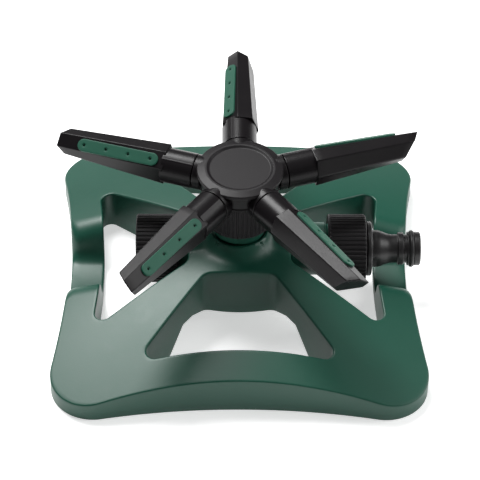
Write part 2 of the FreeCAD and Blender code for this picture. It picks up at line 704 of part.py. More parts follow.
def make_arm():
    axle = Z * AXIS_Z
    body = arm_blank().fuse(rod(COLLAR_START, COLLAR_END + PAST, STUB_R, X, axle))
    body = body.cut(rod(COLLAR_START - PAST, SOCKET_END, SPIGOT_R + RUNNING, X, axle))
    body = body.cut(rod(SOCKET_END - PAST, ARM_BORE_END, ARM_BORE, X, axle))
    body = body.cut(snap_bead(RUNNING))
    _, lean = strip_frame()
    wide = STRIP_WIDTH + 2 * FIT
    pocket = slab(STRIP_IN / lean - FIT, STRIP_OUT / lean + FIT, wide, -STRIP_SUNK, TIP_SPARE)
    places = jet_places()
    feed = slab(places[0] - STRIP_FEED / 2, places[-1] + STRIP_FEED / 2, STRIP_FEED, -STRIP_FEED_DEPTH, 0)
    return body.cut(on_facet(pocket)).cut(on_facet(feed))


def save(name, shape):
    solids = shape.Solids
    valid = all(solid.isValid() for solid in solids)
    print(name, len(solids), "valid" if valid else "NOT VALID", round(shape.Volume, 1))
    shape.exportStep("parts/" + name + ".step")


def main():
    os.makedirs("parts", exist_ok=True)
    save("base", make_base())
    save("water_tee", make_tee())
    save("tee_screws", make_tee_screws())
    save("rotor_nut", make_rotor_nut())
    save("riser_seal", make_riser_seal())
    save("thrust_washer", make_thrust_washer())
    save("rotor_spindle", make_spindle())
    save("hub_body", make_hub())
    save("hub_cap", make_hub_cap())
    save("hub_cap_seal", make_hub_cap_seal())
    save("arm_o_rings", make_arm_o_rings())
    arm = make_arm()
    strip = make_strip()
    for index in range(ARMS):
        save("arm_" + str(index + 1), radial(arm, index))
        save("spray_strip_" + str(index + 1), radial(strip, index))
    save("hose_nut", make_hose_nut())
    save("inlet_nipple", make_inlet_nipple())
    save("nipple_o_ring", make_nipple_o_ring())
    save("inlet_washer", make_inlet_washer())
    save("end_cap", make_end_cap())
    save("end_cap_washer", make_end_cap_washer())


main()
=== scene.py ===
import math

import bmesh
import bpy
import numpy as np
from mathutils import Matrix, Vector


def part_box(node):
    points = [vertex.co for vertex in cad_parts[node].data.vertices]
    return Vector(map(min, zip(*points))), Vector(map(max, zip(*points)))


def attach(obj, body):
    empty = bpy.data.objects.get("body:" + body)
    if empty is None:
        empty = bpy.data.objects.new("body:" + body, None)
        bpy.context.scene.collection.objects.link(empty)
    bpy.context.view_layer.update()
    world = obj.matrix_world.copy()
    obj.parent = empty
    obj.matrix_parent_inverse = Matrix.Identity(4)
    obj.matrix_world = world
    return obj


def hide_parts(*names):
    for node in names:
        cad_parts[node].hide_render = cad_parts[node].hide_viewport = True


# A five-armed lawn sprinkler on a square moulded base. Shapes are worked out in millimetres,
# +Z up, the rotor turning about Z and the hose coming in along +X, and are stored in metres.

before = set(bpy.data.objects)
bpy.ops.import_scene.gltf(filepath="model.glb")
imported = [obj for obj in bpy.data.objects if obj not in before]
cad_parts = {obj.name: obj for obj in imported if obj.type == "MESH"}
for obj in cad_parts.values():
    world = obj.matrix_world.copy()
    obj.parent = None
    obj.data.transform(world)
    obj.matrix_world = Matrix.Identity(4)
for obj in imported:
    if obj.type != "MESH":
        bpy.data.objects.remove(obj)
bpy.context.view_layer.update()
MM = 0.001


def box(node):
    """The low and high corners of a node's box, in millimetres."""
    low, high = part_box(node)
    return np.array(low) / MM, np.array(high) / MM


# ---- places and sizes taken from the frame
BASE_LOW, BASE_HIGH = box("base")
HOSE_NUT_LOW, HOSE_NUT_HIGH = box("hose_nut")
END_CAP_LOW, END_CAP_HIGH = box("end_cap")
ROTOR_NUT_LOW, ROTOR_NUT_HIGH = box("rotor_nut")
TEE_LOW, TEE_HIGH = box("water_tee")
NIPPLE_LOW, NIPPLE_HIGH = box("inlet_nipple")
CAP_LOW, CAP_HIGH = box("hub_cap")
O_RING_LOW, O_RING_HIGH = box("nipple_o_ring")
PIPE_Z = (HOSE_NUT_LOW[2] + HOSE_NUT_HIGH[2]) / 2
NUT_R = (HOSE_NUT_HIGH[1] - HOSE_NUT_LOW[1]) / 2
BOSS_TOP = BASE_HIGH[2]

# ---- base
SIDE = BASE_HIGH[0] - BASE_LOW[0]
PINCH = 6.9                 # how far each side draws in at its middle
CORNER_R = 22.0
CORNER_AT = SIDE / 2 - CORNER_R     # X and Y of the centre of a corner's arc
LONG_R = (CORNER_AT ** 2 + PINCH ** 2) / (2 * PINCH) - CORNER_R     # the arc that draws a side in
LONG_AT = SIDE / 2 - PINCH + LONG_R     # how far out that arc has its centre
WALL = 2.6
RAIL = 17.2                 # width of the outer rail
CROWN_TOP = 38.2
CROWN_SPREAD = 60.0         # how gradually the crown turns from flat to its slope
CROWN_FALL = 0.368          # that slope
OPEN_IN = 26.5              # inner wall of each opening
OPEN_APEX = 2.3             # where the lines of an opening's two sides would meet
OPEN_ANGLE = math.radians(35.7)     # from the opening's middle line to each side
OPEN_IN_R = 6.0
OPEN_OUT_R = 5.0
OPEN_OUT_ROOM = 4.6         # room along the outer edge for that corner's arc, in its radii
RIM_R = 1.1                 # rounding of the openings' rims
EDGE_R = 0.7                # rounding of the outer top edge
FOOT_R = 0.4
VALLEY_FLOOR = 5.0          # height of a valley's floor at its middle
VALLEY_BOWL = 75.0          # radius of the floor, across the valley
VALLEY_FOOT = 8.5           # half the floor's width
VALLEY_SWEEP = 8.0          # radius of the arc up each flank
VALLEY_ROLL = 14.0          # radius of the arc over its brow
VALLEY_STEEP = math.radians(73)     # slope where the two arcs meet
VALLEY_FLARE = 4.5          # radius that turns the flanks outwards at the outline
VALLEY_START = 62.0         # the valleys lie further out than this
RELIEF_R = (0.0, 24.0, 43.0, 51.0, 62.5)    # distances from the middle, and how far
RELIEF_Z = (5.5, 5.5, 13.4, 13.4, 0.0)      # above the ground the walls stop there
BOSS_R = 15.5               # the rim round the riser
BOSS_FOOT = 25.0            # where the skin starts to climb to it
BOSS_CURVE = 2.9            # how sharply it climbs
BOSS_RIM = 1.4
BOSS_RIM_DEEP = 4.0
BOSS_CUP = 1.8              # how far the skin inside the rim lies below it
RISER_HOLE = 13.0
HUMP_R = 13.8               # the skin over the pipe
HUMP_END = OPEN_IN + 1      # it ends just past the openings' inner walls
HUMP_BLEND = 2.5
TUNNEL_R = 11.2             # the arch in those walls for the pipe

# ---- pipe
RUN_R = 10.8
BORE = 8.0
COLLAR_R = 13.7
THREAD_R = 13.2
THREAD_DEPTH = 0.75
THREAD_PITCH = 1.814
RISER_R = 12.6
INLET_COLLAR = 44.2
OUTLET_COLLAR = 30.2
RISER_COLLAR = (43.4, 49.6)
RUN_PAST = 2.0              # how far each half of the run reaches past the middle
RISER_ROOT = PIPE_Z + 6
EAR = (14.0, 17.0, 20.0)    # where the pipe is screwed to the base
EAR_PAD = 4.0
EAR_THICK = 3.0
POST_R = 3.2                # the base's posts over the ears

# ---- ribbed nuts
RIBS = 48
RIB_DEPTH = 0.55
RIB_START = 0.7             # plain band at the near end
RIB_STOP = 0.3              # and at the far end
RIB_FADE = 0.8
NUT_BORE = THREAD_R + 0.3
LIP = 2.1                   # wall at the end of a nut that holds a neck
ROTOR_NECK = 9.0            # radii of the necks that two of the nuts hold
HOSE_NECK = 10.0
CAP_WALL = 2.8
CAP_PAN = 0.6               # depth of the pan in the cap's end
CAP_PAN_IN = (2.6, 3.4)     # how far in from the grip the pan's slope starts and stops

# ---- plug: radii, and places along X
PLUG_BORE = 5.6
PLUG_HEAD_R = THREAD_R - 0.2
PLUG_HEAD = 2.0             # thickness of the flange inside the nut
PLUG_NECK = 9.6
PLUG_WAIST = 7.4
PLUG_NOSE = 8.75
COLLAR_PLATE = (66.2, 68.6)
COLLAR_PLATE_R = 14.2
TAPER = (72.2, 77.9)
RING = (82.2, 85.3)
RING_R = 8.45
NOSE_AT = 87.2
SEAT = (88.0, 90.8)         # groove of the O-ring
SEAT_R = 6.9

# ---- rotor
ARMS = 5
ARM_PHASE = 90.0
AXIS_Z = 74.5
HUB_LOW = 71.6
HUB_TOP = CAP_LOW[2] + 3.4
HUB_R = (19.6, 20.6)        # at the bottom and at the top
HUB_LIP = 0.5
DISC_R = CAP_HIGH[0]
DISC_TOP = CAP_HIGH[2]
DISC_EDGE = 1.0             # height of the chamfer
DISC_LIP = 1.0              # width of the lip round the recess
RECESS_R = 16.8
RECESS = 0.8
RECESS_SLOPE = 1.3
STUB_R = 9.0
STUB_IN = 18.9
STUB_END = 23.2
SPIGOT_R = 6.9
SPIGOT_END = 35.4
SPIGOT_GAP = 0.15

# ---- arms: corners of the six-sided section as (sideways, up from the axis)
COLLAR_IN = 23.6
COLLAR_PAST = 1.5           # how far the collar reaches into the body
ROOT_AT = 38.6
END_AT = 90.0
ROOT_SECTION = [(1.0, 9.7), (-6.7, 8.7), (-10.0, 0.0), (-7.0, -8.3), (7.0, -7.5), (8.9, 4.5)]
END_SECTION = [(0.8, 7.2), (-4.9, 6.3), (-8.0, -0.9), (-4.8, -5.8), (5.1, -3.9), (6.3, 2.5)]
CORNERS_R = (0.5, 0.8, 1.6, 1.6, 1.6, 0.8)
ARM_EDGE = 0.45             # rounding of the ends' edges
TIP_RADIUS = 96.3           # reach of the ridge
TIP_SLANT = (0.569, 0.537)  # how the end leans, sideways and upwards
SEAM_AT = math.radians(60)
SEAM_PROUD = 0.12
SEAM_HALF = 0.35
STRIP_HALF = 3.3
STRIP_IN = 41.8
STRIP_OUT = 85.4
STRIP_PROUD = 1.0
STRIP_SUNK = 1.2
STRIP_EDGE = 0.35
STRIP_SHIFT = 0.6           # away from the ridge, from the facet's middle
JETS = 4
JET_IN = 45.9
JET_OUT = 81.9
JET_R = 0.6
JET_DEEP = 1.8
JET_SEAT_R = 1.0
JET_SEAT = 0.25             # depth of the dish round each jet


# ---------------------------------------------------------------- surfaces

def grid(points, around=False, along=False):
    """Quads of a grid of points (rows, columns, 3), closed round its columns or along its rows."""
    rows, columns = points.shape[:2]
    index = np.arange(rows * columns).reshape(rows, columns)
    if around:
        index = np.hstack([index, index[:, :1]])
    if along:
        index = np.vstack([index, index[:1]])
    quads = np.stack([index[:-1, :-1], index[:-1, 1:], index[1:, 1:], index[1:, :-1]], axis=-1)
    return points.reshape(-1, 3), quads.reshape(-1, 4)


def piece(name, body, finish, surfaces, replaces=(), crease=38):
    """One object from closed surfaces, with doubles merged, faces turned outwards, and edges smooth where
    they bend by less than crease degrees. It rides on body and stands in for the replaced nodes."""
    starts = np.cumsum([0] + [len(points) for points, _ in surfaces])
    points = np.concatenate([points for points, _ in surfaces]) * MM
    quads = np.concatenate([quads + start for (_, quads), start in zip(surfaces, starts)])
    mesh = bpy.data.meshes.new(name)
    mesh.from_pydata(points, [], quads)
    work = bmesh.new()
    work.from_mesh(mesh)
    bmesh.ops.remove_doubles(work, verts=work.verts, dist=2e-6)
    bmesh.ops.dissolve_degenerate(work, edges=work.edges, dist=1e-7)
    bmesh.ops.recalc_face_normals(work, faces=work.faces)
    work.to_mesh(mesh)
    work.free()
    mesh.shade_smooth()
    mesh.set_sharp_from_angle(angle=math.radians(crease))
    mesh.materials.append(finish)
    made = bpy.data.objects.new(name, mesh)
    bpy.context.scene.collection.objects.link(made)
    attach(made, body)
    if replaces:
        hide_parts(*replaces)
    return made


def rounded(corners, radii, closed=True, steps=7, flat=0.2):
    """A path through corners with each one replaced by an arc of its radius, or of what fits: an arc starts
    at most 0.45 of a side's length from the corner. Points run round the arc's centre from one tangent point
    to the other, with one more point a little way along each side."""
    corners = np.array(corners, float)
    radii = np.broadcast_to(np.array(radii, float), len(corners))[:, None]
    back = np.roll(corners, 1, axis=0) - corners
    on = np.roll(corners, -1, axis=0) - corners
    back_length = np.linalg.norm(back, axis=1, keepdims=True)
    on_length = np.linalg.norm(on, axis=1, keepdims=True)
    back, on = back / back_length, on / on_length
    half = np.arccos(np.clip((back * on).sum(axis=1, keepdims=True), -1, 1)) / 2
    reach = np.minimum(radii / np.tan(half), 0.45 * np.minimum(back_length, on_length))
    radius = reach * np.tan(half)
    middle = (back + on) / np.maximum(np.linalg.norm(back + on, axis=1, keepdims=True), 1e-9)
    centre = corners + middle * radius / np.sin(half)
    turn = np.maximum(math.pi - 2 * half, 1e-6)
    share = np.linspace(0, 1, steps)[None, :, None]
    turn = turn[:, :, None]
    start = (corners + back * reach - centre)[:, None, :]
    end = (corners + on * reach - centre)[:, None, :]
    arc = (np.sin((1 - share) * turn) * start + np.sin(share * turn) * end) / np.sin(turn)
    path = centre[:, None, :] + arc
    room = np.minimum(flat, 0.04 * np.minimum(back_length, on_length))
    path = np.concatenate([(corners + back * (reach + room))[:, None, :], path,
                           (corners + on * (reach + room))[:, None, :]], axis=1)
    if not closed:
        path[0] = corners[0]
        path[-1] = corners[-1]
    return path.reshape(-1, 2)


def fill(path, spacing):
    """The path with points added, so that none are further apart than spacing."""
    run = np.concatenate([[0], np.cumsum(np.linalg.norm(np.diff(path, axis=0), axis=1))])
    extra = np.linspace(0, run[-1], int(run[-1] / spacing) + 2)
    at = np.unique(np.round(np.concatenate([run, extra]), 5))
    return np.stack([np.interp(at, run, path[:, 0]), np.interp(at, run, path[:, 1])], axis=1)


def frame_x(x, y, z):
    """Turns a shape made along +Z, so that it runs along +X from a place."""
    return np.array([[0, 0, 1], [1, 0, 0], [0, 1, 0]], float), np.array([x, y, z], float)


def frame_z(x, y, z):
    """Leaves a shape upright, as it is made, from a place."""
    return np.eye(3), np.array([x, y, z], float)


def lathe(profile, place, steps=96, shape=None, closed=True):
    """A profile of (radius, along) points spun about an axis. shape(angle, radius, along) may move the
    radius."""
    turn, origin = place
    angle = np.linspace(0, 2 * math.pi, steps, endpoint=False)[None, :]
    radius = np.repeat(profile[:, :1], steps, axis=1)
    height = np.repeat(profile[:, 1:], steps, axis=1)
    if shape is not None:
        radius = shape(angle, radius, height)
    points = np.stack([radius * np.cos(angle), radius * np.sin(angle), height], axis=-1)
    return grid(points @ turn.T + origin, around=True, along=closed)


def rod(place, radius, start, end, edge=0.4, steps=64):
    """A round bar, rounded at both ends."""
    corners = [(0, start), (radius, start), (radius, end), (0, end)]
    return lathe(rounded(corners, (0, edge, edge, 0), closed=False), place, steps, closed=False)


def hoop(place, radius, wire, steps=96):
    """A ring of round wire."""
    angle = np.linspace(0, 2 * math.pi, 24, endpoint=False)
    return lathe(np.stack([radius + wire * np.cos(angle), wire * np.sin(angle)], axis=1), place, steps)


def turned(surface, degrees):
    """The surface turned about the rotor's axis."""
    points, quads = surface
    spin = np.array(Matrix.Rotation(math.radians(degrees), 3, "Z"))
    return points @ spin.T, quads


def ease(share):
    """0 to 1 with no corner at either end."""
    share = np.clip(share, 0, 1)
    return share * share * (3 - 2 * share)


def higher(one, two, blend):
    """The higher of two heights, with the corner between them filled over a height difference of blend."""
    near = np.clip(1 - np.abs(one - two) / blend, 0, None)
    return np.maximum(one, two) + near * near * blend / 4


# ---------------------------------------------------------------- base

def outline_x(y):
    """Where the side of the base's outline crosses a line at y."""
    return LONG_AT - np.sqrt(np.clip(LONG_R ** 2 - y * y, 0, None))


def crown_height(reach):
    """A crown that turns from flat at the middle to an even slope outside."""
    return CROWN_TOP - CROWN_FALL * (np.hypot(reach, CROWN_SPREAD) - CROWN_SPREAD)


def valley_height(x, y, crown):
    """Height of a valley's skin: a shallow bowl that climbs to the crown in an arc up each flank and an arc
    over its brow. The flanks turn outwards in a further arc where they meet the base's outline."""
    near = np.clip(1 - (outline_x(y) - x) / VALLEY_FLARE, 0, 1)
    y = y - VALLEY_FLARE * (1 - np.sqrt(1 - near * near))
    low, high = VALLEY_SWEEP * math.sin(VALLEY_STEEP), VALLEY_ROLL * math.sin(VALLEY_STEEP)
    brow = VALLEY_FOOT + low + high
    sweep = VALLEY_SWEEP - np.sqrt(VALLEY_SWEEP ** 2 - np.clip(y - VALLEY_FOOT, 0, low) ** 2)
    roll = np.sqrt(VALLEY_ROLL ** 2 - np.clip(brow - y, 0, high) ** 2) - VALLEY_ROLL * math.cos(VALLEY_STEEP)
    share = (sweep + roll) / ((VALLEY_SWEEP + VALLEY_ROLL) * (1 - math.cos(VALLEY_STEEP)))
    floor = VALLEY_FLOOR + np.clip(y, 0, brow) ** 2 / (2 * VALLEY_BOWL)
    return floor + (crown - floor) * share


def top_height(plan):
    """Height of the base's skin over a plan point: the crown, its flare up to the riser's rim, the hump
    over the pipe, and the valleys that the hose lies in on two sides."""
    x, y = np.abs(plan[..., 0]), np.abs(plan[..., 1])
    reach = np.hypot(x, y)
    skin = crown_height(reach)
    climb = np.clip((BOSS_FOOT - reach) / (BOSS_FOOT - BOSS_R), 0, 1) ** BOSS_CURVE
    skin = skin + (BOSS_TOP - crown_height(BOSS_R)) * climb
    hump = PIPE_Z + np.sqrt(np.clip(HUMP_R ** 2 - y * y, 0, None))
    skin = np.where((x < HUMP_END) & (y < HUMP_R), higher(skin, hump, HUMP_BLEND), skin)
    skin = np.where(reach < BOSS_R - BOSS_RIM / 2, BOSS_TOP - BOSS_CUP, skin)
    return np.where(x > VALLEY_START, valley_height(x, y, skin), skin)


def foot_height(plan):
    """How far the openings' walls stop above the ground: an even relief, and an arch over the pipe."""
    x, y = np.abs(plan[..., 0]), np.abs(plan[..., 1])
    relief = np.interp(np.hypot(x, y), RELIEF_R, RELIEF_Z)
    arch = PIPE_Z + np.sqrt(np.clip(TUNNEL_R ** 2 - y * y, 0, None))
    return np.where((x < HUMP_END) & (y < TUNNEL_R), arch, relief)


def outline(share):
    """An eighth of the base's outline, from a corner's middle (0) to a side's middle (1): an arc of the
    corner, then a long arc drawn inwards. Returns the points and their outward directions."""
    swing = math.asin(CORNER_AT / (LONG_R + CORNER_R))
    bend = CORNER_R * (math.pi / 4 + swing)
    run = share * (bend + LONG_R * swing)
    round_corner = math.pi / 4 - run / CORNER_R
    drawn = swing - (run - bend) / LONG_R
    on_corner = (run < bend)[:, None]
    out = np.where(on_corner, np.stack([np.cos(round_corner), np.sin(round_corner)], axis=1),
                   np.stack([np.cos(drawn), -np.sin(drawn)], axis=1))
    points = np.where(on_corner, CORNER_AT + CORNER_R * out, [LONG_AT, 0] - LONG_R * out)
    return points, out


def opening(counts):
    """Half of an opening's plan, from the middle of its inner wall to the middle of its outer edge, with
    counts points to the middle of each rounded corner. Returns points and directions into the material."""
    outer_r, spread = LONG_R + RAIL, math.tan(OPEN_ANGLE)
    corner = np.array([70.0, 45.0])     # a first guess, which each round brings nearer
    for _ in range(8):
        far = LONG_AT - math.sqrt(outer_r ** 2 - corner[1] ** 2)
        corner = np.array([far, (corner[0] - OPEN_APEX) * spread])
    steps, edge_points = 41, 20
    edge_y = np.linspace(corner[1] - OPEN_OUT_ROOM * OPEN_OUT_R, 0, edge_points)
    edge = np.stack([LONG_AT - np.sqrt(outer_r ** 2 - edge_y ** 2), edge_y], axis=1)
    start = [(OPEN_IN, 0), (OPEN_IN, (OPEN_IN - OPEN_APEX) * spread), corner]
    radii = [0, OPEN_IN_R, OPEN_OUT_R] + [0] * edge_points
    path = rounded(np.concatenate([start, edge]), radii, False, steps, 0)
    run = np.concatenate([[0], np.cumsum(np.linalg.norm(np.diff(path, axis=0), axis=1))])
    block = steps + 2
    stops = [0, run[block + block // 2], run[2 * block + block // 2], run[-1]]
    even = np.linspace(0, run[-1], 4000)
    dense = np.stack([np.interp(even, run, path[:, 0]), np.interp(even, run, path[:, 1])], axis=1)
    heading = np.gradient(dense, axis=0)
    heading = heading / np.linalg.norm(heading, axis=1, keepdims=True)
    at = np.concatenate([np.linspace(stops[i], stops[i + 1], counts[i], endpoint=False) for i in range(3)]
                        + [stops[3:]])
    points = np.stack([np.interp(at, even, dense[:, i]) for i in range(2)], axis=1)
    heading = np.stack([np.interp(at, even, heading[:, i]) for i in range(2)], axis=1)
    into = np.stack([-heading[:, 1], heading[:, 0]], axis=1)
    return points, into / np.linalg.norm(into, axis=1, keepdims=True)


def mirrored(half):
    """A whole loop from its half on +Y."""
    other = half[-2:0:-1] * [1, -1]
    return np.concatenate([half, other])


def edge_profile(rim):
    """A wall's section from the skin over its rounded rim, down, under and up the inside, as rows of
    distance in from the face, share of the way down, and lift."""
    angle = np.linspace(0, math.pi / 2, 6)
    over = np.stack([rim * (1 - np.sin(angle)), 0 * angle, -rim * (1 - np.cos(angle))], axis=1)
    down = np.linspace(0, 1, 8)[1:]
    face = np.stack([0 * down, down, FOOT_R * down - rim * (1 - down)], axis=1)
    under = np.stack([FOOT_R * (1 - np.cos(angle)), 0 * angle + 1, FOOT_R * (1 - np.sin(angle))], axis=1)
    up = np.linspace(1, 0, 5)
    inside = np.stack([0 * up + WALL, up, -WALL * (1 - up)], axis=1)
    return np.concatenate([over, face, under[1:], inside])[:, :, None]


def wall(plan, into, profile, spin, foot):
    """The profile carried along a plan path, into giving the direction of the material."""
    places = plan[None] + profile[:, 0, :, None] * into[None]
    places = places @ spin.T
    top, low = top_height(places), foot(places)
    height = top * (1 - profile[:, 1]) + low * profile[:, 1] + profile[:, 2]
    return np.concatenate([places, height[..., None]], axis=-1)


def skin(inner, outer, rows, spin, drop):
    """The crown between two plan loops, lowered by drop."""
    share = np.linspace(0, 1, rows)[:, None, None]
    places = (inner[None] * (1 - share) + outer[None] * share) @ spin.T
    return np.concatenate([places, (top_height(places) - drop)[..., None]], axis=-1)


def base_surfaces():
    """Each quarter is a band between an opening and a loop that runs round the riser's hole, out along a
    diagonal, along the outline and back. The outline's own wall and the riser's hole close it."""
    counts = (20, 54, 84)       # points along half an inner wall, a side and half an outer edge
    hole, into = opening(counts)
    rim_points, rim_out = outline(np.linspace(0, 1, counts[2] + 1))
    angle = np.linspace(0, math.pi / 4, counts[0], endpoint=False)
    bore = RISER_HOLE * np.stack([np.cos(angle), np.sin(angle)], axis=1)

    def outer_loop(inset):
        edge = rim_points - inset * rim_out
        near = RISER_HOLE / math.sqrt(2)
        share = np.linspace(0, 1, counts[1], endpoint=False)[:, None]
        diagonal = near * (1 - share) + edge[0] * share
        return mirrored(np.concatenate([bore, diagonal, edge]))

    hole, into = mirrored(hole), mirrored(into)
    surfaces = []
    foot = BOSS_TOP - BOSS_RIM_DEEP
    side_path = np.concatenate([rim_points, rim_points[-2::-1] * [1, -1]])
    side_into = -np.concatenate([rim_out, rim_out[-2::-1] * [1, -1]])
    arc = np.linspace(-math.pi / 4, math.pi / 4, 2 * counts[0] + 1)
    riser = RISER_HOLE * np.stack([np.cos(arc), np.sin(arc)], axis=1)
    for quarter in range(4):
        spin = np.array(Matrix.Rotation(math.pi / 2 * quarter, 2))
        top = skin(hole + RIM_R * into, outer_loop(EDGE_R), 25, spin, 0)
        under = skin(hole + WALL * into, outer_loop(WALL), 11, spin, WALL)
        rim = wall(hole, into, edge_profile(RIM_R), spin, foot_height)
        surfaces.append(grid(np.concatenate([top[:0:-1], rim, under[1:]]), around=True))
        side = wall(side_path, side_into, edge_profile(EDGE_R), spin, lambda places: 0 * places[..., 0])
        surfaces.append(grid(side))
        ring = (riser @ spin.T)[None] + np.zeros((4, 1, 1))
        top_z = top_height(ring)
        fall = np.linspace(0, WALL, 4)[:, None]
        surfaces.append(grid(np.concatenate([ring, (top_z - fall)[..., None]], axis=-1)))
    rim_corners = [(BOSS_R - BOSS_RIM, foot), (BOSS_R, foot), (BOSS_R, BOSS_TOP),
                   (BOSS_R - BOSS_RIM, BOSS_TOP)]
    surfaces.append(lathe(rounded(rim_corners, (0.1, 0.1, 0.45, 0.45)), frame_z(0, 0, 0), 128))
    for x in (-EAR[0], EAR[0]):
        for y in (-EAR[1], EAR[1]):
            top_z = float(crown_height(math.hypot(x, y))) - WALL / 2
            surfaces.append(rod(frame_z(x, y, 0), POST_R, EAR[2] + EAR_THICK, top_z))
    return surfaces


# ---------------------------------------------------------------- pipe and nuts

def threaded(start, end):
    """shape() of a pipe thread: between start and end the radius dips by the thread's depth along a helix,
    fading in over one pitch and out over 0.6 of one."""
    def shape(angle, radius, along):
        wave = np.abs(((along - start) / THREAD_PITCH - angle / (2 * math.pi)) % 1 * 2 - 1)
        deep = THREAD_DEPTH * ease(1.25 * (1 - wave) - 0.1)
        fade = ease((along - start) / THREAD_PITCH) * ease((end - along) / (0.6 * THREAD_PITCH))
        outside = np.abs(radius - THREAD_R) < 0.05
        return np.where(outside, radius - deep * fade, radius)
    return shape


def threaded_pipe(place, corners, start, end):
    """A pipe spun from its corners, with a thread between start and end."""
    profile = rounded(corners, 0.25)
    profile = np.concatenate([profile, profile[:1]])
    outer = (profile[:, 0] > THREAD_R - 0.3) & (profile[:, 0] < THREAD_R + 0.01)
    first, last = np.flatnonzero(outer)[[0, -1]]
    fine = fill(profile[first:last + 1], THREAD_PITCH / 10)
    profile = np.concatenate([profile[:first], fine, profile[last + 1:-1]])
    return lathe(profile, place, 96, threaded(start, end))


def tee_surfaces():
    """The run with its two collars and threads, the riser, and the ears that are screwed to the base."""
    inlet, outlet, top = TEE_HIGH[0], TEE_LOW[0], TEE_HIGH[2]
    shoulder = OPEN_IN + 0.3    # just clear of the openings' inner walls
    collar_low, collar_high = RISER_COLLAR
    along, upright = frame_x(0, 0, PIPE_Z), frame_z(0, 0, 0)
    inlet_side = [(BORE, -RUN_PAST), (RUN_R, -RUN_PAST), (RUN_R, shoulder), (COLLAR_R, shoulder),
                  (COLLAR_R, INLET_COLLAR), (THREAD_R, INLET_COLLAR), (THREAD_R, inlet), (BORE, inlet)]
    outlet_side = [(BORE, outlet), (THREAD_R, outlet), (THREAD_R, -OUTLET_COLLAR), (COLLAR_R, -OUTLET_COLLAR),
                   (COLLAR_R, -shoulder), (RUN_R, -shoulder), (RUN_R, RUN_PAST), (BORE, RUN_PAST)]
    riser = [(BORE, RISER_ROOT), (RISER_R, RISER_ROOT), (RISER_R, collar_low), (COLLAR_R, collar_low),
             (COLLAR_R, collar_high), (THREAD_R, collar_high), (THREAD_R, top), (BORE, top)]
    surfaces = [threaded_pipe(along, inlet_side, INLET_COLLAR, inlet),
                threaded_pipe(along, outlet_side, outlet, -OUTLET_COLLAR),
                threaded_pipe(upright, riser, collar_high, top)]
    reach, low, high = EAR[1] + EAR_PAD, EAR[2], EAR[2] + EAR_THICK
    for x in (-EAR[0], EAR[0]):
        plan = rounded([(-EAR_PAD, -reach), (EAR_PAD, -reach), (EAR_PAD, reach), (-EAR_PAD, reach)], 3.9)
        rise = rounded([(0, low), (1, low), (1, high), (0, high)], (0, 0.2, 0.2, 0), False)
        surfaces.append(stack(plan + [x, 0], rise, upright))
    return surfaces


def stack(plan, section, place):
    """A plate: the plan loop shrunk to each radius share of the section and lifted to its height."""
    turn, origin = place
    centre = plan.mean(axis=0)
    flat = centre + (plan - centre)[None] * section[:, :1, None]
    height = np.repeat(section[:, 1:], len(plan), axis=1)
    return grid(np.concatenate([flat, height[..., None]], axis=-1) @ turn.T + origin, around=True)


def ribbed(length):
    """shape() of a hand grip: shallow round-bottomed grooves between ribs, which run out before each end."""
    def shape(angle, radius, along):
        across = np.abs((angle * RIBS / (2 * math.pi)) % 1 - 0.5)
        groove = ease((0.33 - across) / 0.2)
        reach = ease((along - RIB_START) / RIB_FADE) * ease((length - RIB_STOP - along) / RIB_FADE)
        outside = radius > NUT_R - 0.35
        return np.where(outside, radius - RIB_DEPTH * groove * reach, radius)
    return shape


def nut(place, length, corners, edges, closed=True):
    """A ribbed nut from its section, filled finely enough along the grip for the ribs to run out."""
    profile = rounded(corners, edges, closed)
    grip = profile[:, 0] > NUT_R - 1e-6
    first, last = np.flatnonzero(grip)[[0, -1]]
    profile = np.concatenate([profile[:first], fill(profile[first:last + 1], 0.5), profile[last + 1:]])
    return lathe(profile, place, RIBS * 12, ribbed(length), closed)


def swivel_nut(place, length, neck):
    """A nut whose far end has a lip that holds a neck."""
    lip = length - LIP
    corners = [(NUT_BORE, 0), (NUT_R, 0), (NUT_R, length), (neck, length), (neck, lip), (NUT_BORE, lip)]
    return nut(place, length, corners, (0.5, 0.8, 1.3, 0.5, 0.2, 0.2))


def cap_nut(place, length):
    """The same grip with its outer end closed: the end dips in a shallow pan."""
    inner_wall, pan = length - CAP_WALL, length - CAP_PAN
    rim_r, pan_r = NUT_R - CAP_PAN_IN[0], NUT_R - CAP_PAN_IN[1]
    corners = [(0, inner_wall), (NUT_BORE, inner_wall), (NUT_BORE, 0), (NUT_R, 0), (NUT_R, length),
               (rim_r, length), (pan_r, pan), (0, pan)]
    return nut(place, length, corners, (0, 0.2, 0.5, 0.8, 1.1, 0.4, 0.4, 0), closed=False)


def flipped(place):
    """The same place facing the other way along X."""
    turn, origin = place
    return np.diag([-1.0, -1.0, 1.0]) @ turn, origin


